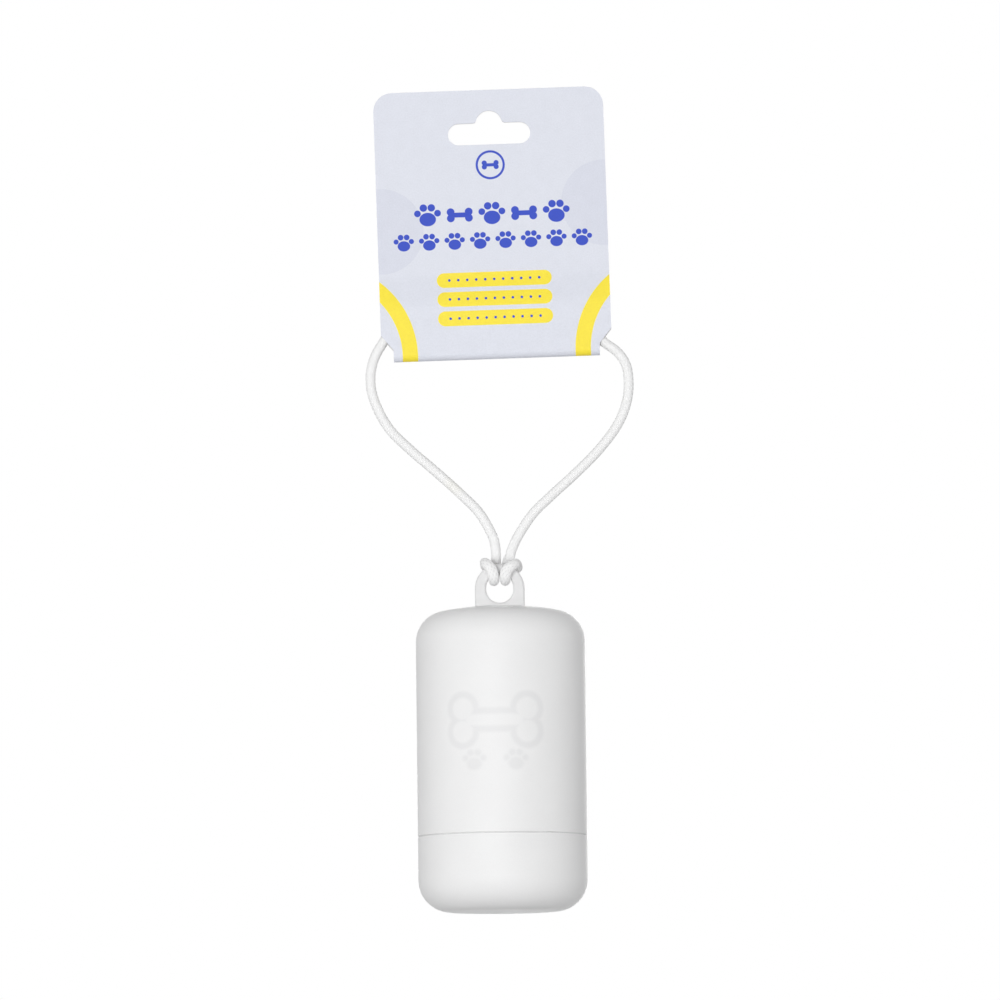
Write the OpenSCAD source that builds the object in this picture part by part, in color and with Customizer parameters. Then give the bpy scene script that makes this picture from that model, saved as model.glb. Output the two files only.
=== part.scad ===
// Pocket dispenser for dog waste bags: a capsule housing with a screw cap,
// tied by an elastic cord loop to a folded hang card.
// Millimetres, +Z up, front towards -Y, origin at the centre of the card's peg hole.

/* [Hang card] */
// Width of the card
card_w = 61.5; // [56:0.5:80]
// Height of the folded card
card_h = 72.3; // [66:0.1:100]
// Thickness of the board
card_t = 0.4; // [0.3:0.05:0.6]
// Radius of the two top corners
card_corner_r = 5; // [1:0.5:10]
// Distance from the top edge to the middle of the peg hole
peg_drop = 11.8; // [10:0.1:16]
// Lean of the card, turned anticlockwise as seen from the front
card_lean = 1.35; // [0:0.05:3]
// Length of the peg slot
peg_w = 22; // [18:0.5:30]
// Height of the peg slot
peg_h = 5.8; // [5:0.1:8]
// Radius of the peg slot's round top bump
peg_bump_r = 3.5; // [2.5:0.25:5]
// Depth of the bump's centre below the slot's top edge
peg_bump_sink = 0.2; // [0:0.1:0.5]
// Radius of the fillets beside the bump
peg_fillet_r = 1; // [0.5:0.25:2]
// Depth of the notches that let the cord out at the fold
notch_w = 3.25; // [2.5:0.25:6]
// Height of each notch's straight edge above the fold
notch_rise = 3.1; // [2:0.1:5]
// Height of each notch's slanted edge
notch_slant = 4; // [3:0.25:6]
// Height of the cord pocket above the fold, before the leaves close
pocket_h = 13.5; // [13:0.5:18]
// Height over which the leaves close above the pocket
close_h = 10.5; // [8:0.5:14]
// Play of the cord between the two leaves, on each side
pocket_play = 0.25; // [0.2:0.05:0.5]
// Height of the adhesive strip between the leaves
tape_h = 22; // [10:0.5:26]
// Thickness of the adhesive strip
tape_t = 0.1; // [0.05:0.05:0.3]
// Distance of the strip from the card's side edges
tape_margin = 6; // [3:0.5:12]
// Distance of the strip above the place where the leaves meet
tape_rise = 1; // [0.5:0.25:3]

/* [Cord] */
// Diameter of the elastic cord
cord_d = 2.5; // [2:0.1:2.5]
// Height of the cord's outlets above the fold
outlet_h = 4; // [3.8:0.1:5]

/* [Housing] */
// Outside diameter of the housing
body_d = 45; // [42:0.5:60]
// Height of the upper shell down to the seam
shell_h = 61.3; // [56:0.1:90]
// Height of the screw cap below the seam
cap_h = 20.1; // [18:0.1:30]
// Wall of the upper shell
wall = 1.8; // [1.4:0.1:2.2]
// Outside radius of the shell's top corner
top_r = 8.25; // [5:0.25:12]
// Rise of the shell's domed top inside its rounded corner
dome_h = 1.3; // [0.5:0.1:3]
// Outside radius of the cap's bottom corner
bottom_r = 8.5; // [5:0.5:10]
// Thickness of the cap's floor
floor_t = 2.6; // [2:0.1:4]
// Inside radius of the cap's floor corner
cup_r = 1.75; // [0.5:0.25:2]
// Height of the cap's neck above the seam
neck_h = 9; // [7:0.5:12]
// Wall of the neck
neck_wall = 1.2; // [1:0.1:1.6]
// Height of the neck's guide band above the seam
band_h = 1.5; // [1:0.25:2.5]
// Radial clearance of the guide band in the shell
band_gap = 0.08; // [0.05:0.01:0.1]
// Radial room for the thread between neck and shell
thread_room = 0.6; // [0.5:0.05:0.8]
// Width of the lead-in chamfer at the top of the neck
lead_in_w = 0.5; // [0.3:0.05:0.8]
// Height of the lead-in chamfer
lead_in_h = 1.5; // [0.5:0.25:2.5]
// Chamfer on both edges of the seam
seam_chamfer = 0.25; // [0.1:0.05:0.4]
// Width of the small nib in the seam
nib_w = 1.3; // [0.8:0.1:3]
// Angle of the nib, to the right of the front
nib_angle = 33; // [0:1:60]
// Width of the bag slot in the back of the shell
slot_w = 5.4; // [5:0.1:9]
// Height of the bag slot
slot_h = 26; // [18:0.5:34]
// Distance from the shell's top to the middle of the bag slot
slot_drop = 32; // [28:0.5:40]
// Radius of the round mouth in the middle of the bag slot
mouth_r = 4.6; // [3.5:0.1:6]

/* [Loop tab] */
// Width of the tab
tab_w = 13.2; // [12.5:0.1:18]
// Thickness of the tab
tab_t = 3; // [2:0.1:3]
// Radius of the tab's hole
tab_hole_r = 3.6; // [3.5:0.1:4]
// Distance of the hole's centre below the centre of the tab's arch
tab_hole_drop = 0.2; // [0:0.1:0.6]
// Height by which the hole is drawn out upwards, where the cord pulls
tab_hole_draw = 0.6; // [0.2:0.1:0.8]
// Height of the hole's centre above the shell
tab_rise = 4.4; // [4.2:0.1:7]
// Rounding of the tab's edges
tab_edge_r = 0.6; // [0.3:0.05:0.9]

/* [Bag roll] */
// Outside diameter of the wound bags
roll_d = 34; // [28:0.5:36]
// Width of the roll
roll_h = 60; // [50:0.5:62]
// Outside diameter of the cardboard core
core_d = 14; // [12:0.5:18]
// Wall of the core
core_wall = 1; // [0.8:0.1:1.5]
// Radial clearance of the wound bags on the core
wind_gap = 0.05; // [0.02:0.01:0.1]
// Gap under the roll at the cap's floor
seat_gap = 0.1; // [0.05:0.05:0.3]

/* [Hidden] */
$fn = 96;

cord_r = cord_d / 2;
cord_sides = 8;
body_r = body_d / 2;
bore_r = body_r - wall;
neck_r = bore_r - thread_room;
cup_bore_r = neck_r - neck_wall;

// Card heights, all from the peg hole's centre
fold_z = peg_drop - card_h;
pocket_gap = cord_d + 2 * pocket_play;
bend_r = pocket_gap / 2;
bend_z = fold_z + bend_r + card_t;
pocket_z = fold_z + pocket_h;
close_z = pocket_z + close_h;

// The housing hangs under the middle of the leaning card
axis_x = -fold_z * sin(card_lean);
outlet_z = fold_z + outlet_h;

// Cord routes as [x, z] from the middle of the line through the two outlets.
// Each strand runs from its outlet in the card down to the knot.
left_route = [[-30.8, 0], [-32.4, -2.7], [-33.6, -6.5], [-33.7, -11.5], [-32.1, -16.8],
    [-28.8, -22.6], [-23.4, -28.1], [-16.7, -34], [-10, -40.2], [-5.5, -44.8],
    [-2.8, -49.2], [-1.4, -52.4], [-0.9, -54.3]];
right_route = [[28.8, 0], [32.2, -2.6], [34.3, -5.8], [35, -10], [34.6, -15.2],
    [32.25, -21.4], [27.15, -28.3], [20.45, -35], [13.75, -41], [9.2, -45.4],
    [6.2, -49.6], [4.5, -52.5], [3.6, -54.3]];
arch_route = [[-30.05, 1.18], [-28.2, 3.3], [-24, 5.5], [-17, 6.8], [-6, 7.4],
    [6, 7.1], [16, 5.8], [23, 3.5], [27.76, 0.94]];
knot_drop = -left_route[len(left_route) - 1][1];

// Height of the hinge line above the tab's hole
knot_rise = 11.4;
hole_z = outlet_z - knot_drop - knot_rise;
shell_z = hole_z - tab_rise;
seam_z = shell_z - shell_h;
base_z = seam_z - cap_h;

// Knot route as [x, y, z] from the centre of the tab's hole: down behind the rim,
// through the hole, up over the front, across the back and the same on the other side.
hitch_route = [[-0.9, 0, 10], [-0.9, 0.03, 9.7], [-0.88, 0.4, 9], [-0.87, 1.15, 8.4],
    [-0.88, 2.1, 7.8], [-0.9, 2.83, 6.8], [-0.97, 2.97, 5.4], [-1.3, 2.8, 3.7],
    [-1.52, 1.8, 2.6], [-1.53, 0, 2.3], [-1.55, -1.85, 2.5], [-1.7, -2.87, 3.55],
    [-2.2, -3, 5.15], [-2.87, -2.95, 6.05], [-3.5, -2.25, 6.72], [-3.87, -0.9, 7.08],
    [-3.87, 0.9, 7.1], [-3.82, 2.3, 6.78], [-3.6, 3.5, 6.3], [-2.95, 4.75, 6],
    [-1.6, 5.5, 5.8], [0.5, 5.65, 5.75], [2.7, 5.5, 5.8], [4.1, 4.7, 5.85],
    [4.75, 3.5, 5.95], [4.85, 2.2, 6.2], [4.65, 0.8, 6.62], [4.4, -0.9, 6.8],
    [3.95, -2.25, 6.52], [3.05, -2.95, 5.9], [2.1, -3, 5.05], [1.55, -2.85, 3.6],
    [1.5, -1.8, 2.62], [1.5, 0, 2.35], [1.5, 1.8, 2.62], [1.6, 2.85, 3.7],
    [1.85, 2.97, 5.4], [1.95, 2.83, 6.8], [2.15, 2.1, 7.8], [2.45, 1.15, 8.4],
    [2.85, 0.4, 9], [3.05, 0.03, 9.7], [3.1, 0, 10]];

// Vectors and swept tubes
function unit(v) = v / norm(v);
function heading(path, i) =
    unit(path[min(i + 1, len(path) - 1)] - path[max(i - 1, 0)]);
function square_to(v, t) = unit(v - (v * t) * t);
function sides_along(path) = [for (i = 0, s = square_to([0, 1, 0.01], heading(path, 0));
    i < len(path);
    i = i + 1, s = square_to(s, heading(path, min(i, len(path) - 1)))) s];
function ring(at, t, side, r) = [for (k = [0:cord_sides - 1])
    let (a = 360 * (k + 0.5) / cord_sides)
    at + r * (cos(a) * side + sin(a) * cross(t, side))];

// Tube through a path, with one radius for each of its points
module tube(path, radii) {
    n = len(path);
    m = cord_sides;
    side = sides_along(path);
    skin = [for (i = [0:n - 1]) each ring(path[i], heading(path, i), side[i], radii[i])];
    walls = [for (i = [0:n - 2]) for (k = [0:m - 1])
        [i * m + k, i * m + (k + 1) % m, (i + 1) * m + (k + 1) % m, (i + 1) * m + k]];
    first = [for (k = [0:m - 1]) m - 1 - k];
    last = [for (k = [0:m - 1]) (n - 1) * m + k];
    polyhedron(points = skin, faces = concat([first], walls, [last]), convexity = 8);
}

// A strand ends in a half ball at both hinge lines, so that it can turn there.
// The ball has two rings, at these angles above its equator.
ball_angles = [67, 37];
function ball_end(at, t) = [for (a = ball_angles) at - sin(a) * cord_r * t];
module strand(route) {
    path = [for (p = route) [axis_x + p[0], 0, outlet_z + p[1]]];
    n = len(path);
    head = ball_end(path[0], unit(path[1] - path[0]));
    foot = ball_end(path[n - 1], unit(path[n - 2] - path[n - 1]));
    rounded = [for (a = ball_angles) cos(a) * cord_r];
    tube(concat(head, path, [foot[1], foot[0]]),
        concat(rounded, [for (p = path) cord_r], [rounded[1], rounded[0]]));
}

// Round-cornered rectangle on the +X side, turned into a solid of revolution
module turned(r, low, high, r_low, r_high) {
    rotate_extrude() turned_outline(r, low, high, r_low, r_high);
}
module turned_outline(r, low, high, r_low, r_high) {
    translate([0, low + r_low]) square([r, high - low - r_low - r_high]);
    if (r_low > 0) {
        translate([0, low]) square([r - r_low, 2 * r_low]);
        corner(r - r_low, low + r_low, r_low, -1);
    }
    if (r_high > 0) {
        translate([0, high - 2 * r_high]) square([r - r_high, 2 * r_high]);
        corner(r - r_high, high - r_high, r_high, 1);
    }
}
// The shell's section: a straight side, a rounded corner and a dome that meets it smoothly
module domed(r, low, high, r_high, dome) {
    rotate_extrude() domed_outline(r, low, high, r_high, dome);
}
module domed_outline(r, low, high, r_high, dome) {
    corner_x = r - r_high;
    corner_z = high - dome - r_high;
    reach = (corner_x * corner_x + dome * dome) / (2 * dome);
    dome_r = reach + r_high;
    meet_x = corner_x * dome_r / reach;
    translate([0, low]) square([r, corner_z - low]);
    corner(corner_x, corner_z, r_high, 1);
    intersection() {
        translate([0, high - dome_r]) circle(dome_r, $fn = 720);
        translate([0, low]) square([meet_x, high - low]);
    }
}
module corner(x, z, r, up) {
    intersection() {
        translate([x, z]) circle(r);
        translate([x, up > 0 ? z : z - r]) square(r);
    }
}

// Space between the card's leaves at a height z
function leaf_gap(z) = let (u = max(0, min(1, (z - pocket_z) / close_h)))
    pocket_gap + (tape_t - pocket_gap) * u * u * (3 - 2 * u);
leaf_steps = 8;
leaf_heights = concat([bend_z], [for (i = [0:leaf_steps]) pocket_z + i / leaf_steps * close_h]);

// Section across the fold: the space between the leaves, grown by the board on each side
module fold_space(grown, top) {
    right = concat([for (z = leaf_heights) [leaf_gap(z) / 2 + grown, z]],
        [[tape_t / 2 + grown, top]]);
    polygon(concat(right, [for (i = [len(right) - 1:-1:0]) [-right[i][0], right[i][1]]]));
    translate([0, bend_z]) circle(bend_r + grown, $fn = 48);
}
module folded_section() {
    difference() {
        fold_space(card_t, peg_drop);
        fold_space(0, peg_drop + 1);
    }
}
module peg_outline() {
    end_x = (peg_w - peg_h) / 2;
    bump_z = peg_h / 2 - peg_bump_sink;
    fillet_z = peg_h / 2 + peg_fillet_r;
    fillet_x = sqrt(pow(peg_bump_r + peg_fillet_r, 2) - pow(fillet_z - bump_z, 2));
    square([2 * end_x, peg_h], center = true);
    for (s = [-1, 1]) translate([s * end_x, 0]) circle(peg_h / 2);
    translate([0, bump_z]) circle(peg_bump_r);
    for (s = [-1, 1]) difference() {
        polygon([[0, 0], [0, bump_z], [s * fillet_x, fillet_z], [s * fillet_x, 0]]);
        translate([s * fillet_x, fillet_z]) circle(peg_fillet_r);
    }
}
module card_outline() {
    half = card_w / 2;
    difference() {
        union() {
            translate([-half, fold_z]) square([card_w, card_h - card_corner_r]);
            translate([card_corner_r - half, fold_z]) square([card_w - 2 * card_corner_r, card_h]);
            for (s = [-1, 1])
                translate([s * (half - card_corner_r), peg_drop - card_corner_r])
                    circle(card_corner_r);
        }
        for (s = [-1, 1]) polygon([[s * (half - notch_w), fold_z - 1],
            [s * (half - notch_w), fold_z + notch_rise],
            [s * half, fold_z + notch_rise + notch_slant],
            [s * (half + 1), fold_z + notch_rise + notch_slant], [s * (half + 1), fold_z - 1]]);
        peg_outline();
    }
}
module hang_card() {
    color([0.88, 0.89, 0.94]) rotate([0, -card_lean, 0]) intersection() {
        translate([-card_w / 2, 0, 0]) rotate([90, 0, 90])
            linear_extrude(card_w) folded_section();
        rotate([90, 0, 0]) linear_extrude(pocket_gap + 4, center = true) card_outline();
    }
}

// Adhesive strip that holds the two leaves together under the peg hole
module card_tape() {
    color([0.93, 0.92, 0.86]) rotate([0, -card_lean, 0])
        translate([0, 0, close_z + tape_rise + tape_h / 2])
            cube([card_w - 2 * tape_margin, tape_t, tape_h], center = true);
}

module cord_arch() {
    path = [for (p = arch_route) [axis_x + p[0], 0, outlet_z + p[1]]];
    color([0.94, 0.94, 0.94]) tube(path, [for (p = path) cord_r]);
}
module cord_left() {
    color([0.94, 0.94, 0.94]) strand(left_route);
}
module cord_right() {
    color([0.94, 0.94, 0.94]) strand(right_route);
}
module cord_hitch() {
    path = [for (p = hitch_route) [axis_x + p[0], p[1], hole_z + p[2]]];
    color([0.92, 0.92, 0.92]) tube(path, [for (p = path) cord_r]);
}

// Loop tab: a flat plate with a round arch, rounded edges and a round hole
module tab_section(w) {
    square([w, tab_t - 2 * tab_edge_r], center = true);
    square([w - 2 * tab_edge_r, tab_t], center = true);
    for (x = [-1, 1]) for (y = [-1, 1])
        translate([x * (w / 2 - tab_edge_r), y * (tab_t / 2 - tab_edge_r)])
            circle(tab_edge_r, $fn = 32);
}
module half_plane_section(w) {
    intersection() {
        tab_section(w);
        translate([0, -tab_t]) square([w, 2 * tab_t]);
    }
}
module hole_flare() {
    // the hole's wall, opened at both mouths by the edge rounding
    difference() {
        translate([0, -tab_t]) square([tab_hole_r + tab_edge_r, 2 * tab_t]);
        for (s = [-1, 1]) translate([tab_hole_r + tab_edge_r, s * (tab_t / 2 - tab_edge_r)])
            circle(tab_edge_r, $fn = 32);
        translate([tab_hole_r, tab_edge_r - tab_t / 2])
            square([2 * tab_edge_r, tab_t - 2 * tab_edge_r]);
    }
}
module loop_tab() {
    difference() {
        union() {
            translate([0, 0, tab_hole_drop])
                rotate([90, 0, 0]) rotate_extrude() half_plane_section(tab_w);
            translate([0, 0, -tab_rise - wall / 2])
                linear_extrude(tab_rise + wall / 2 + tab_hole_drop) tab_section(tab_w);
        }
        for (lift = [0, tab_hole_draw]) translate([0, 0, lift])
            rotate([90, 0, 0]) rotate_extrude() hole_flare();
    }
}

// Bag slot: an upright slot with a round mouth in the middle, cut through the back wall
module slot_cut() {
    rotate([-90, 0, 0]) linear_extrude(body_d) {
        square([slot_w, slot_h - slot_w], center = true);
        for (s = [-1, 1]) translate([0, s * (slot_h - slot_w) / 2]) circle(slot_w / 2);
        circle(mouth_r);
    }
}
module seam_cut(up) {
    // ring that takes the chamfer off the outer edge of the seam
    rotate_extrude() polygon([[body_r - seam_chamfer, 0], [body_r + 1, 0],
        [body_r + 1, up * (seam_chamfer + 1)]]);
}
module upper_shell() {
    color([0.95, 0.95, 0.95]) difference() {
        union() {
            translate([axis_x, 0, 0]) domed(body_r, seam_z, shell_z, top_r, dome_h);
            translate([axis_x, 0, hole_z]) loop_tab();
        }
        translate([axis_x, 0, 0])
            domed(bore_r, seam_z - 1, shell_z - wall, top_r - wall, dome_h);
        translate([axis_x, 0, shell_z - slot_drop]) slot_cut();
        translate([axis_x, 0, seam_z]) seam_cut(1);
    }
}

module lower_cap() {
    color([0.95, 0.95, 0.95]) translate([axis_x, 0, 0]) difference() {
        union() {
            turned(body_r, base_z, seam_z, bottom_r, 0);
            translate([0, 0, seam_z - 1]) cylinder(h = neck_h + 1, r = neck_r);
            translate([0, 0, seam_z - 1]) cylinder(h = band_h + 1, r = bore_r - band_gap);
        }
        turned(cup_bore_r, base_z + floor_t, seam_z + neck_h + 1, cup_r, 0);
        difference() {
            translate([0, 0, seam_z]) seam_cut(-1);
            rotate([0, 0, nib_angle])
                translate([-nib_w / 2, -body_d, seam_z - 2]) cube([nib_w, body_d, 4]);
        }
        // lead-in at the top of the neck
        translate([0, 0, seam_z + neck_h]) rotate_extrude()
            polygon([[neck_r - lead_in_w, 0], [neck_r, -lead_in_h], [neck_r + 1, -lead_in_h],
                [neck_r + 1, 1], [neck_r - lead_in_w, 1]]);
    }
}

module roll_core() {
    low = base_z + floor_t + seat_gap;
    color([0.72, 0.6, 0.44]) translate([axis_x, 0, low]) difference() {
        cylinder(h = roll_h, d = core_d);
        translate([0, 0, -1]) cylinder(h = roll_h + 2, d = core_d - 2 * core_wall);
    }
}
module bag_roll() {
    low = base_z + floor_t + seat_gap;
    color([0.25, 0.27, 0.3]) translate([axis_x, 0, low]) difference() {
        cylinder(h = roll_h, d = roll_d);
        translate([0, 0, -1]) cylinder(h = roll_h + 2, d = core_d + 2 * wind_gap);
    }
}

hang_card();
card_tape();
cord_arch();
cord_left();
cord_right();
cord_hitch();
upper_shell();
lower_cap();
roll_core();
bag_roll();
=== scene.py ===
import math
import random
import bmesh
import bpy
from mathutils import Matrix, Vector


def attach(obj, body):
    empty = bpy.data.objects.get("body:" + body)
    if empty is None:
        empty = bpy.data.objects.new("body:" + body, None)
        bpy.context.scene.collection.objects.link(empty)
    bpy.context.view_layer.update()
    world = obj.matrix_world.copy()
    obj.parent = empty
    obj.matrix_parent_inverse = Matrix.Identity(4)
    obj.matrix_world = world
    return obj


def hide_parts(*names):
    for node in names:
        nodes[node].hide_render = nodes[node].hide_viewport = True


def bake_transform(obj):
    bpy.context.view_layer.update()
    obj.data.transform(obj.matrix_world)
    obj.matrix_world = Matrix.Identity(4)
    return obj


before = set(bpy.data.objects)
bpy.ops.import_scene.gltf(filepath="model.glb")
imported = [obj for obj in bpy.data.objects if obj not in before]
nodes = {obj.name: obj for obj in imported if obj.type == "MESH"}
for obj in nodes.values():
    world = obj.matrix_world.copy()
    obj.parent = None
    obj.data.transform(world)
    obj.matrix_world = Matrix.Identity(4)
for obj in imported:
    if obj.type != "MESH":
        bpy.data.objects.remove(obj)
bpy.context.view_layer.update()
scene = bpy.context.scene

# Lengths are in millimetres from the peg slot's centre, unless a comment says otherwise

MM = 0.001
# The axis on which the cord and the housing hang
AXIS_X = 1.4254
# The cord's outlets from the card
OUTLET_Z = -56.5
# The centre of the tab's hole
HOLE_Z = -122.2
# The seam between shell and cap
SEAM_Z = -187.9
# The card's turn in its own plane, in radians
CARD_LEAN = math.radians(1.35)
# The cord over its woven cover
CORD_D = 2.6


# Camera, in metres and radians

CAMERA_AIM = Vector((0.00177, 0, -0.09828))
CAMERA_DISTANCE = 2.6
CAMERA_TILT = math.radians(4.8)
CAMERA_ROLL = math.radians(0.67)
FRAME_WIDTH = 0.2665
# The sensor's width, in millimetres
SENSOR_WIDTH = 36


def add_camera():
    """A camera in front of the part that looks slightly upwards."""
    look = Vector((0, math.cos(CAMERA_TILT), math.sin(CAMERA_TILT)))
    level_right = Vector((1, 0, 0))
    level_up = Vector((0, -math.sin(CAMERA_TILT), math.cos(CAMERA_TILT)))
    right = level_right * math.cos(CAMERA_ROLL) - level_up * math.sin(CAMERA_ROLL)
    up = level_right * math.sin(CAMERA_ROLL) + level_up * math.cos(CAMERA_ROLL)
    data = bpy.data.cameras.new("camera")
    data.sensor_width = SENSOR_WIDTH
    data.lens = SENSOR_WIDTH * CAMERA_DISTANCE / FRAME_WIDTH
    camera = bpy.data.objects.new("camera", data)
    scene.collection.objects.link(camera)
    turned = Matrix((right, up, -look)).transposed().to_4x4()
    camera.matrix_world = Matrix.Translation(CAMERA_AIM - look * CAMERA_DISTANCE) @ turned
    scene.camera = camera


add_camera()


# Pieces and their meshes

def add_piece(name, mesh=None):
    """A new piece at the origin, with the mesh or with an empty one."""
    piece = bpy.data.objects.new(name, mesh or bpy.data.meshes.new(name))
    scene.collection.objects.link(piece)
    return piece


def select_only(*pieces):
    bpy.ops.object.select_all(action="DESELECT")
    for piece in pieces:
        piece.select_set(True)
    if pieces:
        bpy.context.view_layer.objects.active = pieces[0]


def apply_modifier(piece, name):
    select_only(piece)
    bpy.ops.object.modifier_apply(modifier=name)


def smooth_below(piece, degrees):
    """Smooth shading, apart from edges sharper than the angle."""
    select_only(piece)
    bpy.ops.object.shade_smooth_by_angle(angle=math.radians(degrees))


def paint(piece, material):
    piece.data.materials.clear()
    piece.data.materials.append(material)


# Node trees written as sums

class Wire:
    """A number on its way through a material's node tree."""

    def __init__(self, tree, source):
        self.tree = tree
        self.source = source

    def step(self, kind, *others, clamp=False):
        node = self.tree.nodes.new("ShaderNodeMath")
        node.operation = kind
        node.use_clamp = clamp
        for slot, value in enumerate((self,) + others):
            if isinstance(value, Wire):
                self.tree.links.new(value.source, node.inputs[slot])
            else:
                node.inputs[slot].default_value = value
        return Wire(self.tree, node.outputs[0])

    def __add__(self, other):
        return self.step("ADD", other)

    def __sub__(self, other):
        return self.step("SUBTRACT", other)

    def __mul__(self, other):
        return self.step("MULTIPLY", other)

    def __abs__(self):
        return self.step("ABSOLUTE")

    def line(self, gain, lift, clamp=False):
        """The number times gain plus lift, held within 0 and 1 where asked."""
        return self.step("MULTIPLY_ADD", gain, lift, clamp=clamp)

    def contrast(self, gain):
        """The number spread out from one half, and held within 0 and 1."""
        return self.line(gain, (1 - gain) / 2, clamp=True)

    def edge(self, soft=0.1):
        """0 outside and 1 inside, with an edge soft millimetres wide."""
        return self.line(1 / soft, 0.5, clamp=True)

    def flipped(self, total=0.0):
        return self.line(-1.0, total)

    def most(self, other):
        return self.step("MAXIMUM", other)

    def least(self, other):
        return self.step("MINIMUM", other)

    def wrapped(self, width):
        """The number folded into -width/2 to width/2."""
        return self.step("WRAP", width / 2, -width / 2)


def new_material(name, roughness, **settings):
    material = bpy.data.materials.new(name)
    material.use_nodes = True
    shader = material.node_tree.nodes["Principled BSDF"]
    shader.inputs["Roughness"].default_value = roughness
    for key, value in settings.items():
        shader.inputs[key.replace("_", " ")].default_value = value
    return material, material.node_tree, shader


def feed(tree, shader, **sources):
    """Links each source, a wire or a socket, to the shader's input of that name."""
    for key, source in sources.items():
        socket = source.source if isinstance(source, Wire) else source
        tree.links.new(socket, shader.inputs[key.replace("_", " ")])


def place_on(tree, scale=1 / MM, turn=(0, 0, 0), shift=(0, 0, 0)):
    """The place on the piece as a vector, in millimetres unless scaled otherwise."""
    source = tree.nodes.new("ShaderNodeTexCoord")
    mapping = tree.nodes.new("ShaderNodeMapping")
    mapping.inputs["Scale"].default_value = (scale,) * 3
    mapping.inputs["Rotation"].default_value = turn
    mapping.inputs["Location"].default_value = shift
    tree.links.new(source.outputs["Object"], mapping.inputs["Vector"])
    return mapping.outputs[0]


def parts_of(tree, vector):
    """The three parts of a vector."""
    parts = tree.nodes.new("ShaderNodeSeparateXYZ")
    tree.links.new(vector, parts.inputs[0])
    return [Wire(tree, parts.outputs[i]) for i in range(3)]


def noise(tree, vector, scale, detail=2.0, stretch=(1, 1, 1), roughness=0.5):
    mapping = tree.nodes.new("ShaderNodeMapping")
    mapping.inputs["Scale"].default_value = stretch
    tree.links.new(vector, mapping.inputs["Vector"])
    node = tree.nodes.new("ShaderNodeTexNoise")
    node.inputs["Scale"].default_value = scale
    node.inputs["Detail"].default_value = detail
    node.inputs["Roughness"].default_value = roughness
    tree.links.new(mapping.outputs[0], node.inputs["Vector"])
    return Wire(tree, node.outputs["Fac"])


def blended(tree, share, first, second):
    """A colour between two others, each a tuple or a socket."""
    node = tree.nodes.new("ShaderNodeMix")
    node.data_type = "RGBA"
    tree.links.new(share.source, node.inputs[0])
    for slot, colour in ((6, first), (7, second)):
        if isinstance(colour, tuple):
            node.inputs[slot].default_value = (*colour, 1)
        else:
            tree.links.new(colour, node.inputs[slot])
    return node.outputs[2]


def bump(tree, shader, height, depth):
    """Raises the surface by up to depth, in metres."""
    node = tree.nodes.new("ShaderNodeBump")
    node.inputs["Distance"].default_value = depth
    tree.links.new(height.source, node.inputs["Height"])
    tree.links.new(node.outputs[0], shader.inputs["Normal"])


# Motifs, as distances in millimetres that are positive inside

# A paw's pad and its toes on one side, in units of the paw's size
PAD_SQUEEZE, PAD_DROP, PAD_R = 0.82, 0.75, 1.45
# Each toe's place across and up, and its radius
TOES = ((0.85, 1.75, 0.8), (2.15, 0.55, 0.72))
# A bone, in units of its size
SHAFT_HALF, SHAFT_R = 2.2, 0.6
KNOB_RISE, KNOB_R = 0.75, 0.95


def union(*shapes):
    """All the shapes as one."""
    whole = shapes[0]
    for shape in shapes[1:]:
        whole = whole.most(shape)
    return whole


def disc(x, y, cx, cy, radius):
    dx, dy = x - cx, y - cy
    return ((dx * dx + dy * dy).step("SQRT")).flipped(radius)


def hoop(x, y, cx, cy, inner, outer):
    return disc(x, y, cx, cy, outer).least(disc(x, y, cx, cy, inner).flipped())


def pill(x, y, cx, cy, half, radius):
    return disc((abs(x - cx) - half).most(0.0), y, 0, cy, radius)


def paw(x, y, cx, cy, size):
    x, y = abs(x - cx), y - cy
    pad = disc(x * PAD_SQUEEZE, y, 0, -PAD_DROP * size, PAD_R * size)
    toes = [disc(x, y, across * size, up * size, radius * size) for across, up, radius in TOES]
    return union(pad, *toes)


def bone(x, y, cx, cy, size):
    x, y = abs(x - cx), abs(y - cy)
    shaft = x.flipped(SHAFT_HALF * size).least(y.flipped(SHAFT_R * size))
    return shaft.most(disc(x, y, SHAFT_HALF * size, KNOB_RISE * size, KNOB_R * size))


# Cord

# The strands and the arch in the card: right of the axis, above the outlets
LEFT_ROUTE = [
    (-30.8, 0), (-32.4, -2.7), (-33.6, -6.5), (-33.7, -11.5), (-32.1, -16.8), (-28.8, -22.6),
    (-23.4, -28.1), (-16.7, -34), (-10, -40.2), (-5.5, -44.8), (-2.8, -49.2), (-1.4, -52.4)]
RIGHT_ROUTE = [
    (28.8, 0), (32.2, -2.6), (34.3, -5.8), (35, -10), (34.6, -15.2), (32.25, -21.4),
    (27.15, -28.3), (20.45, -35), (13.75, -41), (9.2, -45.4), (6.2, -49.6), (4.5, -52.5)]
ARCH_ROUTE = [
    (-30.05, 1.18), (-28.2, 3.3), (-24, 5.5), (-17, 6.8), (-6, 7.4), (6, 7.1), (16, 5.8),
    (23, 3.5), (27.76, 0.94)]
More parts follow.
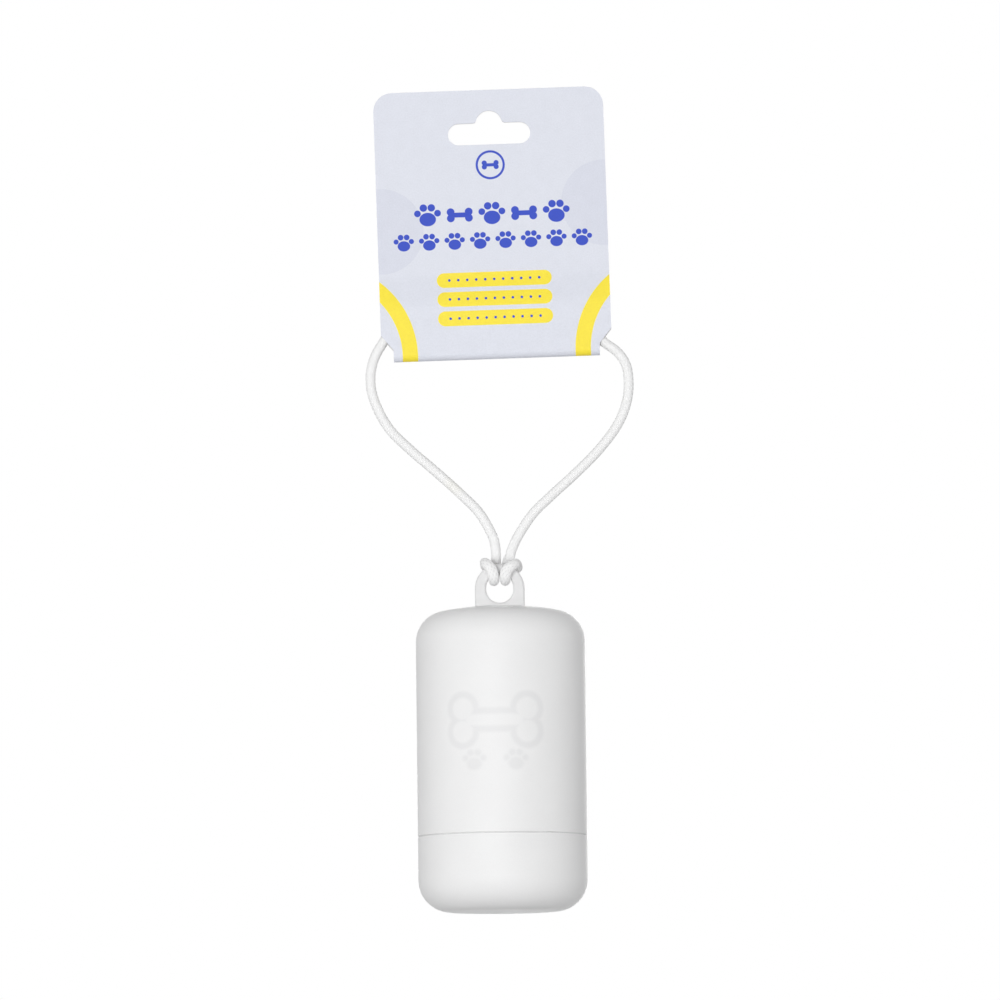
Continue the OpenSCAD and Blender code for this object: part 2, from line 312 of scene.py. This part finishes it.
# The knot, a cow hitch: right of the axis, behind the tab's middle, above its hole's centre
HITCH_ROUTE = [
    (-0.9, 0, 10), (-0.9, 0.03, 9.7), (-0.88, 0.4, 9), (-0.87, 1.15, 8.4), (-0.88, 2.1, 7.8),
    (-0.9, 2.83, 6.8), (-0.97, 2.97, 5.4), (-1.3, 2.8, 3.7), (-1.52, 1.8, 2.6),
    (-1.53, 0, 2.3), (-1.55, -1.85, 2.5), (-1.7, -2.87, 3.55), (-2.2, -3, 5.15),
    (-2.87, -2.95, 6.05), (-3.5, -2.25, 6.72), (-3.87, -0.9, 7.08), (-3.87, 0.9, 7.1),
    (-3.82, 2.3, 6.78), (-3.6, 3.5, 6.3), (-2.95, 4.75, 6), (-1.6, 5.5, 5.8),
    (0.5, 5.65, 5.75), (2.7, 5.5, 5.8), (4.1, 4.7, 5.85), (4.75, 3.5, 5.95),
    (4.85, 2.2, 6.2), (4.65, 0.8, 6.62), (4.4, -0.9, 6.8), (3.95, -2.25, 6.52),
    (3.05, -2.95, 5.9), (2.1, -3, 5.05), (1.55, -2.85, 3.6), (1.5, -1.8, 2.62),
    (1.5, 0, 2.35), (1.5, 1.8, 2.62), (1.6, 2.85, 3.7), (1.85, 2.97, 5.4),
    (1.95, 2.83, 6.8), (2.15, 2.1, 7.8), (2.45, 1.15, 8.4), (2.85, 0.4, 9),
    (3.05, 0.03, 9.7), (3.1, 0, 10)]
# Where the upper and the lower piece of the loop meet, halfway down each strand
LEFT_MEETING, RIGHT_MEETING = (-25.5, -26.2), (24.2, -31)
# Steps of the smooth line between two points of the routes
SPAN_STEPS = 16


def strand_point(point):
    """A point of the strands or the arch, in metres."""
    return Vector(((AXIS_X + point[0]) * MM, 0, (OUTLET_Z + point[1]) * MM))


def hitch_point(point):
    """A point of the knot, in metres."""
    return Vector(((AXIS_X + point[0]) * MM, point[1] * MM, (HOLE_Z + point[2]) * MM))


def closed_route():
    """The loop: up the left strand, over the arch, down the right strand, round the knot."""
    loop = [strand_point(p) for p in reversed(LEFT_ROUTE)]
    loop += [strand_point(p) for p in ARCH_ROUTE]
    loop += [strand_point(p) for p in RIGHT_ROUTE]
    loop += [hitch_point(p) for p in reversed(HITCH_ROUTE)]
    return loop


def passing(a, b, low, high, u):
    """The point that is a when u is low and b when u is high."""
    return a * ((high - u) / (high - low)) + b * ((u - low) / (high - low))


def rounded(loop):
    """A smooth closed line through the points, as a centripetal Catmull-Rom spline."""
    count = len(loop)
    line = []
    for i in range(count):
        p = [loop[(i + k) % count] for k in (-1, 0, 1, 2)]
        t = [0.0]
        for start, end in zip(p, p[1:]):
            t.append(t[-1] + math.sqrt((end - start).length))
        for j in range(SPAN_STEPS):
            u = t[1] + (t[2] - t[1]) * j / SPAN_STEPS
            a = [passing(p[k], p[k + 1], t[k], t[k + 1], u) for k in range(3)]
            b = [passing(a[k], a[k + 1], t[k], t[k + 2], u) for k in range(2)]
            line.append(passing(b[0], b[1], t[1], t[2], u))
    return line


def even(line, count):
    """The closed line again, as count points at one spacing, and its length in metres."""
    reach = [0.0]
    for start, end in zip(line, line[1:] + line[:1]):
        reach.append(reach[-1] + (end - start).length)
    total, points, k = reach[-1], [], 0
    for i in range(count):
        travelled = total * i / count
        while reach[k + 1] < travelled:
            k += 1
        share = (travelled - reach[k]) / (reach[k + 1] - reach[k])
        points.append(line[k].lerp(line[(k + 1) % len(line)], share))
    return points, total


def cord_frames(points):
    """Two directions across the cord at every ring, turned evenly so that the loop closes."""
    count = len(points)
    along = [(points[(i + 1) % count] - points[i - 1]).normalized() for i in range(count)]
    side = [Vector((0, 1, 0))]
    side[0] = (side[0] - along[0] * side[0].dot(along[0])).normalized()
    for i in range(1, count + 1):
        here = along[i % count]
        moved = along[i - 1].rotation_difference(here) @ side[-1]
        side.append((moved - here * moved.dot(here)).normalized())
    gap = math.atan2(side[-1].cross(side[0]).dot(along[0]), side[-1].dot(side[0]))
    frames = []
    for i in range(count):
        spun = Matrix.Rotation(gap * i / count, 3, along[i]) @ side[i]
        frames.append((spun, along[i].cross(spun)))
    return frames


SIDES = 48
RINGS = 2000
# Rings from one point of the cord's path to the next
PATH_STEP = 4
# The yarns that run round the cord each way
CARRIERS = 8
# How far a yarn goes along the cord for its own width round it
YARN_STRETCH = 1.25
# How square a yarn's section is, from 0 for square to 1 for round
YARN_ROUNDNESS = 0.6
# The height of a yarn's ends, where its middle has 1
YARN_ENDS = 0.45
# The depth of the weave's grooves, and the fluff outside its crowns
BRAID_RISE = 0.1
COVER_LOFT = 0.03
# The shares of that depth on the strands and in the knot
STRAND_RELIEF, KNOT_RELIEF = 0.68, 0.93
# The knot's two lobes in metres, and how far and how much they are pressed wide
LOBES = [hitch_point((x, -2.9, 4.6)) for x in (-2.05, 1.85)]
LOBE_REACH = 2.6
LOBE_SWELL = 0.3
# How soon the knot's relief starts beside the lobes
LOBE_GAIN = 2.5
# The join where the cord's two ends are fused, in metres, its reach and its even height
FUSED_AT = Vector((-0.0102, 0, -0.0942))
FUSED_REACH = 3.2
FUSED_HEIGHT = 0.8
# Once round the cord, in metres
GIRTH = math.pi * CORD_D * MM


def braid_height(around, distance):
    """The height of the woven cover, 0 to 1. around counts in turns and distance in yarns."""
    a, b = around * CARRIERS + distance, around * CARRIERS - distance
    over = (math.floor(a) + math.floor(b)) % 2
    across, along = (a, b) if over else (b, a)
    crown = math.sin(math.pi * (across - math.floor(across)))
    length = math.sin(math.pi * (along - math.floor(along)))
    return crown ** YARN_ROUNDNESS * (YARN_ENDS + (1 - YARN_ENDS) * length)


def woven_cover(points, frames, total, first, last):
    """The cover's vertices from ring first to last, their heights, and their places in turns."""
    vertices, crowns, places = [], [], []
    yarn = GIRTH / CARRIERS * YARN_STRETCH
    for ring in range(first, last + 1):
        here = points[ring % RINGS]
        side, other = frames[ring % RINGS]
        travelled = ring * total / RINGS
        fused = max(0.0, 1 - ((here - FUSED_AT).length / (FUSED_REACH * MM)) ** 4)
        nearest_lobe = min((here - lobe).length for lobe in LOBES)
        pressed = math.exp(-(nearest_lobe / (LOBE_REACH * MM)) ** 2)
        knotted = min(1.0, LOBE_GAIN * pressed)
        relief = STRAND_RELIEF + (KNOT_RELIEF - STRAND_RELIEF) * knotted
        for k in range(SIDES):
            angle = 2 * math.pi * k / SIDES
            way = side * math.cos(angle) + other * math.sin(angle)
            rise = braid_height(k / SIDES, travelled / yarn)
            rise = rise * (1 - fused) + FUSED_HEIGHT * fused
            depth = (1 - rise) * relief
            full = CORD_D / 2 + COVER_LOFT + LOBE_SWELL * pressed * (1 - way.y ** 2)
            vertices.append(here + way * (full - BRAID_RISE * depth) * MM)
            crowns.append(1 - depth)
            places.append((k / SIDES, travelled / GIRTH))
    return vertices, crowns, places


def tube_faces(rings):
    """The faces between the rings of a tube, and one at each end."""
    faces = []
    for r in range(rings):
        for k in range(SIDES):
            a, b = r * SIDES + k, r * SIDES + (k + 1) % SIDES
            faces.append((a, b, b + SIDES, a + SIDES))
    faces.append(tuple(reversed(range(SIDES))))
    faces.append(tuple(rings * SIDES + k for k in range(SIDES)))
    return faces


def cord_piece(name, points, frames, total, first, last):
    """Rings first to last of the loop as one closed tube with a woven surface."""
    vertices, crowns, places = woven_cover(points, frames, total, first, last)
    mesh = bpy.data.meshes.new(name)
    mesh.from_pydata(vertices, [], tube_faces(last - first))
    mesh.attributes.new("crown", "FLOAT", "POINT").data.foreach_set("value", crowns)
    uv = mesh.uv_layers.new(name="along")
    for polygon in mesh.polygons:
        turns = [places[v][0] for v in polygon.vertices]
        wraps = max(turns) - min(turns) > 0.5
        for loop in polygon.loop_indices:
            u, v = places[mesh.loops[loop].vertex_index]
            uv.data[loop].uv = (u + 1 if wraps and u < 0.1 else u, v)
    mesh.shade_smooth()
    mesh.update()
    return add_piece(name, mesh)


CORD_DARK, CORD_LIGHT = (0.935, 0.935, 0.937), (0.98, 0.98, 0.978)
# Painted shade in the weave's grooves, and how fast it darkens with their depth
GROOVE_SHADE_TONE, GROOVE_GAIN = (0.62, 0.62, 0.625), 1.9
# The yellowed join, its share of the colour and its radius
FUSED_TONE, FUSED_SHARE, FUSED_R = (0.91, 0.9, 0.84), 0.5, 2.6


def cord_material():
    material, tree, shader = new_material(
        "elastic_cord", roughness=0.75, Sheen_Weight=0.25, Sheen_Roughness=0.5)
    source = tree.nodes.new("ShaderNodeTexCoord")
    streaks = noise(tree, source.outputs["UV"], scale=14.0, detail=3.0, stretch=(2.2, 0.35, 1))
    fluff = noise(tree, source.outputs["UV"], scale=40.0)
    tone = (streaks * 0.7 + fluff * 0.3).contrast(1.6)
    colour = blended(tree, tone, CORD_DARK, CORD_LIGHT)
    weave = tree.nodes.new("ShaderNodeAttribute")
    weave.attribute_name = "crown"
    # Painted shade, darker the deeper the groove
    groove_shade = Wire(tree, weave.outputs["Fac"]).line(-GROOVE_GAIN, 1.0, clamp=True)
    colour = blended(tree, groove_shade, colour, GROOVE_SHADE_TONE)
    x, _, z = parts_of(tree, place_on(tree))
    fused = disc(x, z, FUSED_AT.x / MM, FUSED_AT.z / MM, FUSED_R).edge(soft=2.5)
    colour = blended(tree, fused * FUSED_SHARE, colour, FUSED_TONE)
    feed(tree, shader, Base_Color=colour)
    bump(tree, shader, streaks, depth=0.00004)
    return material


def add_cords():
    loop, total = even(rounded(closed_route()), RINGS)
    frames = cord_frames(loop)
    left_mid, right_mid = (
        min(range(RINGS), key=lambda i: (loop[i] - strand_point(meeting)).length)
        for meeting in (LEFT_MEETING, RIGHT_MEETING))
    spans = {"cord_upper": (left_mid, right_mid), "cord_lower": (right_mid, left_mid + RINGS)}
    material = cord_material()
    made = {}
    for name, (first, last) in spans.items():
        piece = cord_piece(name, loop, frames, total, first, last)
        paint(piece, material)
        path = [loop[i % RINGS] for i in range(first, last + 1, PATH_STEP)]
        if path[-1] != loop[last % RINGS]:
            path.append(loop[last % RINGS])
        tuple(path[0])
        total * (last - first) / RINGS
        made[name] = piece
    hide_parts("cord_arch", "cord_left", "cord_right")
    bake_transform(made["cord_upper"])
    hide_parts("cord_hitch")
    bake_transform(made["cord_lower"])


add_cords()


# Hang card

PAPER = (0.76, 0.782, 0.861)
TONAL = (0.711, 0.733, 0.826)
YELLOW = (1.0, 0.82, 0.045)
BLUE = (0.02, 0.062, 0.54)
BOARD_DARK, BOARD_LIGHT = (0.80, 0.80, 0.79), (0.90, 0.90, 0.885)
ADHESIVE_DARK, ADHESIVE_LIGHT = (0.84, 0.82, 0.72), (0.93, 0.92, 0.85)

# How much the board's fibre lightens and darkens it, and what it adds to the roughness
MOTTLE, FIBRE_ROUGH = 0.24, 0.08
BOARD_ROUGH, PRINT_ROUGH = 0.8, 0.55
# The least slant at which a face counts as a leaf's outside or as the fold's underside
LEAF_SLANT, FOLD_SLANT = 0.4, 0.2
# The print, from the peg slot's centre in the card's own plane
BADGE_Z, BADGE_INNER, BADGE_OUTER = -8.4, 3.3, 3.9
BADGE_BONE = 0.72
# Rows of motifs: height, spacing and half length
LARGE_ROW_Z, LARGE_STEP, LARGE_HALF = -21.6, 17.2, 21.6
LARGE_PAW, LARGE_BONE = 1.25, 1.1
SMALL_ROW_Z, SMALL_STEP, SMALL_HALF = -28.8, 6.8, 27
SMALL_PAW = 0.95
BAR_ROWS = (-39.1, -44.3, -49.5)
BAR_HALF, BAR_R = 13.35, 2
DOT_R, DOT_STEP, DOTS_HALF = 0.36, 2.4, 12.6
# The yellow arcs in the lower corners, one on each side
ARC_X, ARC_Z = 47.1, -59.2
ARC_INNER, ARC_OUTER = 22, 26.1
TONAL_DISCS = ((-29.9, -25.4), (30.1, -19.5))
TONAL_R = 11.5
# The fold's lower part, where the print goes round
FOLD_Z = -58.2


def card_print(tree, x, z):
    """The printed colour over the card's face."""
    sides = abs(x)
    tonal = union(*[disc(x, z, *centre, TONAL_R) for centre in TONAL_DISCS])
    colour = blended(tree, tonal.edge(), PAPER, TONAL)
    arcs = hoop(sides, z, ARC_X, ARC_Z, ARC_INNER, ARC_OUTER)
    bars = [pill(x, z, 0, row, BAR_HALF, BAR_R) for row in BAR_ROWS]
    colour = blended(tree, union(arcs, *bars).edge(), colour, YELLOW)
    large_row = union(
        paw(x.wrapped(LARGE_STEP), z, 0, LARGE_ROW_Z, LARGE_PAW),
        bone((x + LARGE_STEP / 2).wrapped(LARGE_STEP), z, 0, LARGE_ROW_Z, LARGE_BONE))
    large_row = large_row.least(sides.flipped(LARGE_HALF))
    small_row = paw((x + SMALL_STEP / 2).wrapped(SMALL_STEP), z, 0, SMALL_ROW_Z, SMALL_PAW)
    small_row = small_row.least(sides.flipped(SMALL_HALF))
    dots = union(*[disc(x.wrapped(DOT_STEP), z, 0, row, DOT_R) for row in BAR_ROWS])
    dots = dots.least(sides.flipped(DOTS_HALF))
    badge = hoop(x, z, 0, BADGE_Z, BADGE_INNER, BADGE_OUTER)
    badge = badge.most(bone(x, z, 0, BADGE_Z, BADGE_BONE))
    return blended(tree, union(large_row, small_row, badge, dots).edge(), colour, BLUE)


def printed_faces(tree, y, z):
    """1 on the outer faces of the leaves and under the fold, 0 on cut edges and inside."""
    face = tree.nodes.new("ShaderNodeTexCoord")
    _, depth_normal, height_normal = parts_of(tree, face.outputs["Normal"])
    leaves = (depth_normal * y.step("SIGN")).step("GREATER_THAN", LEAF_SLANT)
    under_fold = z.step("LESS_THAN", FOLD_Z) * height_normal.step("LESS_THAN", -FOLD_SLANT)
    return leaves.most(under_fold)


def dress_card():
    material, tree, shader = new_material("printed_card", roughness=0.55)
    place = place_on(tree, turn=(0, CARD_LEAN, 0))
    x, y, z = parts_of(tree, place)
    outside = printed_faces(tree, y, z)
    fibre = noise(tree, place, scale=2.4, detail=4.0, roughness=0.7)
    grain = noise(tree, place, scale=0.35)
    board = blended(tree, fibre, BOARD_DARK, BOARD_LIGHT)
    colour = blended(tree, outside, board, card_print(tree, x, z))
    mottle = (fibre * 0.8 + grain * 0.2).line(MOTTLE, 1 - MOTTLE / 2)
    shade = tree.nodes.new("ShaderNodeVectorMath")
    shade.operation = "SCALE"
    tree.links.new(colour, shade.inputs[0])
    tree.links.new(mottle.source, shade.inputs["Scale"])
    rough = outside.line(PRINT_ROUGH - BOARD_ROUGH, BOARD_ROUGH) + fibre * FIBRE_ROUGH
    feed(tree, shader, Base_Color=shade.outputs[0], Roughness=rough)
    bump(tree, shader, fibre, depth=0.00003)
    paint(nodes["hang_card"], material)


def dress_tape():
    material, tree, shader = new_material(
        "clear_adhesive", roughness=0.3, Transmission_Weight=0.35, IOR=1.47)
    streaks = noise(tree, place_on(tree), scale=0.8, detail=3.0, stretch=(0.15, 1, 1))
    feed(tree, shader, Base_Color=blended(tree, streaks, ADHESIVE_DARK, ADHESIVE_LIGHT))
    bump(tree, shader, streaks, depth=0.00003)
    paint(nodes["card_tape"], material)


dress_card()
dress_tape()


# Housing

PLASTIC_DARK, PLASTIC_LIGHT = (0.862, 0.862, 0.864), (0.922, 0.922, 0.923)
# Painted shade in the seam's gap, its share of the colour and its half width
SEAM_SHADE_TONE, SEAM_SHADE_SHARE, SEAM_SHADE_HALF = (0.5, 0.5, 0.505), 0.36, 0.14
# The mark on the front, laid round the wall and set a little to the right
WALL_R = 22.5
MARK_TONE, MARK_SHARE = (0.55, 0.55, 0.57), 0.16
MARK_SHIFT = 1.8
MARK_BONE, MARK_BONE_Z = 4.0, -158.2
MARK_LINE_HALF = 0.85
MARK_PAW, MARK_PAW_X, MARK_PAW_Z = 1.15, 5.6, -168.9
# Painted shade on the tab, from the height where it starts, and over how much height it comes in
TAB_SHADE_TONE = (0.8, 0.8, 0.802)
TAB_Z = -127.6
TAB_FADE = 2.5
# A painted shadow on the tab, under the knot's lobes
KNOT_SHADOW_TONE, KNOT_SHADOW_SHARE = (0.6, 0.6, 0.605), 0.45
KNOT_SHADOW_RISE, KNOT_SHADOW_R = 5.4, 2.6


def front_mark(x, y, z):
    """The outline of a bone over two small paws, on the front of the wall."""
    around = x.step("ARCTAN2", y.flipped()) * WALL_R + MARK_SHIFT
    outline = abs(bone(around, z, 0, MARK_BONE_Z, MARK_BONE)).flipped(MARK_LINE_HALF)
    return outline.most(paw(abs(around), z, MARK_PAW_X, MARK_PAW_Z, MARK_PAW))


def moulded_plastic(name, is_shell):
    """Matte white plastic with a fine spark-eroded grain and painted shade along the seam. The
    shell has its mark, painted shade on its tab and a painted shadow under the knot.
    """
    material, tree, shader = new_material(name, roughness=0.5, Specular_IOR_Level=0.35)
    place = place_on(tree, shift=(-AXIS_X, 0, 0))
    x, y, z = parts_of(tree, place)
    grain = noise(tree, place, scale=3.2, detail=3.0, roughness=0.6)
    cloud = noise(tree, place, scale=0.09, detail=3.0)
    tone = (grain * 0.6 + cloud * 0.4).contrast(1.5)
    colour = blended(tree, tone, PLASTIC_DARK, PLASTIC_LIGHT)
    # Painted shade along the seam
    seam_shade = abs(z - SEAM_Z).flipped(SEAM_SHADE_HALF).edge(soft=0.08)
    colour = blended(tree, seam_shade * SEAM_SHADE_SHARE, colour, SEAM_SHADE_TONE)
    if is_shell:
        colour = blended(tree, front_mark(x, y, z).edge(soft=0.9) * MARK_SHARE, colour, MARK_TONE)
        # Painted shade over the tab
        tab = z.line(1 / TAB_FADE, -TAB_Z / TAB_FADE, clamp=True)
        colour = blended(tree, tab, colour, TAB_SHADE_TONE)
        # Painted shadow of the knot's lobes on the tab
        knot_shadow = disc(x, z, 0, HOLE_Z + KNOT_SHADOW_RISE, KNOT_SHADOW_R).edge(soft=2.2)
        colour = blended(tree, knot_shadow * KNOT_SHADOW_SHARE, colour, KNOT_SHADOW_TONE)
    feed(tree, shader, Base_Color=colour, Roughness=grain.line(0.16, 0.44))
    bump(tree, shader, grain, depth=0.00002)
    return material


shell_plastic = moulded_plastic("moulded_shell", True)
cap_plastic = moulded_plastic("moulded_cap", False)
paint(nodes["upper_shell"], shell_plastic)
paint(nodes["lower_cap"], cap_plastic)


# Screw thread, with four starts of half a turn each

STARTS = 4
THREAD_RISE = 6.0
# The section's height at the wall and at the crest
THREAD_FOOT, THREAD_TIP = 1.25, 0.45
# Root and crest radius, and the start's height, on the cap's neck and inside the shell
NECK_ROOT, NECK_CREST, NECK_START_Z = 19.95, 20.52, SEAM_Z + 1.6
WALL_ROOT, WALL_CREST, WALL_START_Z = 20.85, 20.28, SEAM_Z + 3.1
THREAD_STEPS = 64
# The steps over which each end sinks into the wall, and what stands out at the very end
TAPER_STEPS = 8
TAPER_END = 0.05


def taper_ends(shape, root):
    """Lets the thread sink into the wall over its first and last few steps."""
    for vertex in shape.verts:
        angle = math.atan2(vertex.co.y, vertex.co.x) % (2 * math.pi)
        if angle > math.pi * 1.5:
            angle = 0.0
        near = min(angle, math.pi - angle) / (TAPER_STEPS * math.pi / THREAD_STEPS)
        share = TAPER_END + (1 - TAPER_END) * max(0.0, min(1.0, near))
        radius = math.hypot(vertex.co.x, vertex.co.y)
        wanted = (root * MM + (radius - root * MM) * share) / radius
        vertex.co.x *= wanted
        vertex.co.y *= wanted


def thread_start(root, crest, start_z, first_angle):
    """One start: a four-sided section screwed half a turn up the wall."""
    section = [
        (root, -THREAD_FOOT / 2), (crest, -THREAD_TIP / 2),
        (crest, THREAD_TIP / 2), (root, THREAD_FOOT / 2)]
    piece = add_piece("thread_start")
    piece.data.from_pydata(
        [(radius * MM, 0, height * MM) for radius, height in section],
        [(0, 1), (1, 2), (2, 3), (3, 0)], [])
    screw = piece.modifiers.new("turn", "SCREW")
    screw.angle = math.pi
    screw.screw_offset = THREAD_RISE * MM
    screw.steps = screw.render_steps = THREAD_STEPS
    screw.use_smooth_shade = True
    screw.use_merge_vertices = False
    apply_modifier(piece, "turn")
    shape = bmesh.new()
    shape.from_mesh(piece.data)
    ends = [edge for edge in shape.edges if len(edge.link_faces) == 1]
    bmesh.ops.holes_fill(shape, edges=ends, sides=4)
    taper_ends(shape, root)
    bmesh.ops.recalc_face_normals(shape, faces=shape.faces)
    shape.to_mesh(piece.data)
    shape.free()
    piece.data.transform(Matrix.Rotation(first_angle, 4, "Z"))
    piece.data.transform(Matrix.Translation((AXIS_X * MM, 0, start_z * MM)))
    return piece


def add_thread(name, body, plastic, root, crest, start_z):
    starts = [thread_start(root, crest, start_z, 2 * math.pi * i / STARTS) for i in range(STARTS)]
    select_only(*starts)
    bpy.ops.object.join()
    piece = starts[0]
    piece.name = piece.data.name = name
    paint(piece, plastic)
    smooth_below(piece, degrees=40)
    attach(piece, body)


add_thread("neck_thread", "cap", cap_plastic, NECK_ROOT, NECK_CREST, NECK_START_Z)
add_thread("shell_thread", "housing", shell_plastic,
           WALL_ROOT, WALL_CREST, WALL_START_Z)


# Roll of bags

ROLL_LOW, ROLL_HIGH = -205.3, -145.3
CORE_R, ROLL_R = 7.05, 17.0
# The folded strip of film
FILM_T = 0.42
FILM_TURNS = 16
STEPS_PER_TURN = 96
# How far a turn's lower edge may stay back, its upper edge's share of that, and both edges' play
UNEVEN_MOST = 0.55
UPPER_SHARE = 0.8
EDGE_PLAY = 0.05
FILM_DARK, FILM_LIGHT = (0.028, 0.031, 0.036), (0.075, 0.08, 0.09)
CORE_DARK, CORE_LIGHT = (0.42, 0.29, 0.17), (0.62, 0.46, 0.29)
CORE_SEAM, CORE_SEAM_SHARE = (0.25, 0.17, 0.1), 0.6
# The paper strip that the core is wound from
CORE_STRIP = 9.0


def film_material():
    material, tree, shader = new_material("bag_film", roughness=0.38, Specular_IOR_Level=0.5)
    place = place_on(tree, shift=(-AXIS_X, 0, 0))
    crease = noise(tree, place, scale=0.5, detail=4.0, stretch=(1, 1, 0.25), roughness=0.6)
    wave = noise(tree, place, scale=0.16, stretch=(1, 1, 3))
    tone = (crease * 0.6 + wave * 0.4).contrast(1.4)
    colour = blended(tree, tone, FILM_DARK, FILM_LIGHT)
    feed(tree, shader, Base_Color=colour, Roughness=crease.line(0.3, 0.28))
    bump(tree, shader, crease * 0.7 + wave * 0.3, depth=0.00025)
    return material


def add_roll():
    """The folded strip of bags, wound on its core as one long spiral."""
    draw = random.Random(7)
    uneven = [draw.uniform(0.0, UNEVEN_MOST) for _ in range(FILM_TURNS + 2)]
    pitch = (ROLL_R - CORE_R - FILM_T) / FILM_TURNS
    shape = bmesh.new()
    previous = None
    for i in range(FILM_TURNS * STEPS_PER_TURN + 1):
        angle = 2 * math.pi * i / STEPS_PER_TURN
        radius = CORE_R + FILM_T / 2 + pitch * i / STEPS_PER_TURN
        turn, share = divmod(i / STEPS_PER_TURN, 1.0)
        eased = share * share * (3 - 2 * share)
        trim = uneven[int(turn)] * (1 - eased) + uneven[int(turn) + 1] * eased
        x, y = AXIS_X + radius * math.cos(angle), radius * math.sin(angle)
        bottom, top = ROLL_LOW + EDGE_PLAY + trim, ROLL_HIGH - EDGE_PLAY - trim * UPPER_SHARE
        low = shape.verts.new((x * MM, y * MM, bottom * MM))
        high = shape.verts.new((x * MM, y * MM, top * MM))
        if previous:
            shape.faces.new((previous[0], low, high, previous[1]))
        previous = (low, high)
    piece = add_piece("wound_bags")
    shape.to_mesh(piece.data)
    shape.free()
    thick = piece.modifiers.new("film", "SOLIDIFY")
    thick.thickness = FILM_T * MM
    thick.offset = 0
    apply_modifier(piece, "film")
    smooth_below(piece, degrees=30)
    paint(piece, film_material())
    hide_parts("bag_roll")
    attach(piece, "roll")


def dress_core():
    material, tree, shader = new_material("kraft_core", roughness=0.85)
    place = place_on(tree, shift=(-AXIS_X, 0, 0))
    x, y, z = parts_of(tree, place)
    fibre = noise(tree, place, scale=1.6, detail=4.0, stretch=(1, 1, 0.4), roughness=0.65)
    wind = x.step("ARCTAN2", y) * (CORE_STRIP / (2 * math.pi)) + z
    seam = abs(wind.wrapped(CORE_STRIP)).flipped(0.18).edge(soft=0.2)
    colour = blended(tree, fibre, CORE_DARK, CORE_LIGHT)
    colour = blended(tree, seam * CORE_SEAM_SHARE, colour, CORE_SEAM)
    feed(tree, shader, Base_Color=colour)
    bump(tree, shader, fibre - seam * 0.8, depth=0.00006)
    paint(nodes["roll_core"], material)


add_roll()
dress_core()


# Studio, in metres, degrees and watts

FLOOR_Z = -0.8
FLOOR_R = 4.0
FLOOR_DARK, FLOOR_LIGHT = (0.53, 0.53, 0.53), (0.57, 0.57, 0.57)
# How far the floor glows white to the camera
FLOOR_GLOW = 0.8
LAMP_AIM = Vector((0.0015, 0, -0.1))
LAMP_DISTANCE = 1.8
LAMP_SIZE = 1.1
# Name, azimuth from the front towards the right, elevation and power
LAMPS = (
    ("key", -11, 0, 18.6),
    ("left_fill", -75, 0, 3.0),
    ("right_fill", 75, 0, 3.4),
    ("back", 172, 4, 9.0))
AMBIENT = 0.35


def ray_is(tree, *kinds):
    """For each kind of ray, 1 for rays of that kind and 0 for all others."""
    path = tree.nodes.new("ShaderNodeLightPath")
    return [Wire(tree, path.outputs[f"Is {kind} Ray"]) for kind in kinds]


def chosen(tree, share, first, second, output):
    """Sends a mix of two shaders to the output."""
    choice = tree.nodes.new("ShaderNodeMixShader")
    tree.links.new(share.source, choice.inputs[0])
    tree.links.new(first.outputs[0], choice.inputs[1])
    tree.links.new(second.outputs[0], choice.inputs[2])
    tree.links.new(choice.outputs[0], output.inputs["Surface"])


def add_floor():
    """A pale floor, well below the hanging part."""
    select_only()
    bpy.ops.mesh.primitive_circle_add(
        vertices=96, radius=FLOOR_R, fill_type="NGON", location=(0, 0, FLOOR_Z))
    floor = bpy.context.object
    floor.name = "floor"
    material, tree, shader = new_material("floor_paint", roughness=0.9)
    tone = noise(tree, place_on(tree, scale=1.0), scale=1.4)
    feed(tree, shader, Base_Color=blended(tree, tone, FLOOR_DARK, FLOOR_LIGHT))
    glow = tree.nodes.new("ShaderNodeEmission")
    to_camera, to_gloss = ray_is(tree, "Camera", "Glossy")
    pale = (to_camera * FLOOR_GLOW).most(to_gloss)
    chosen(tree, pale, shader, glow, tree.nodes["Material Output"])
    paint(floor, material)


def add_lamp(name, azimuth, elevation, power):
    """A soft round lamp, aimed at the middle of the object."""
    a, e = math.radians(azimuth), math.radians(elevation)
    way = Vector((math.sin(a) * math.cos(e), -math.cos(a) * math.cos(e), math.sin(e)))
    data = bpy.data.lights.new(name, "AREA")
    data.shape = "DISK"
    data.size = LAMP_SIZE
    data.energy = power
    lamp = bpy.data.objects.new(name, data)
    scene.collection.objects.link(lamp)
    lamp.location = LAMP_AIM + way * LAMP_DISTANCE
    lamp.rotation_mode = "QUATERNION"
    lamp.rotation_quaternion = way.to_track_quat("Z", "Y")


def add_world():
    """Even light all round, shown as white to the camera, to gloss and through clear film."""
    world = bpy.data.worlds.new("studio")
    scene.world = world
    world.use_nodes = True
    tree = world.node_tree
    tree.nodes.clear()
    lights = []
    for strength in (AMBIENT, 1.0):
        light = tree.nodes.new("ShaderNodeBackground")
        light.inputs["Strength"].default_value = strength
        light.inputs["Color"].default_value = (1, 1, 1, 1)
        lights.append(light)
    shown = union(*ray_is(tree, "Camera", "Glossy", "Transmission"))
    chosen(tree, shown, *lights, tree.nodes.new("ShaderNodeOutputWorld"))


add_floor()
for lamp_row in LAMPS:
    add_lamp(*lamp_row)
add_world()

scene.view_settings.view_transform = "Standard"
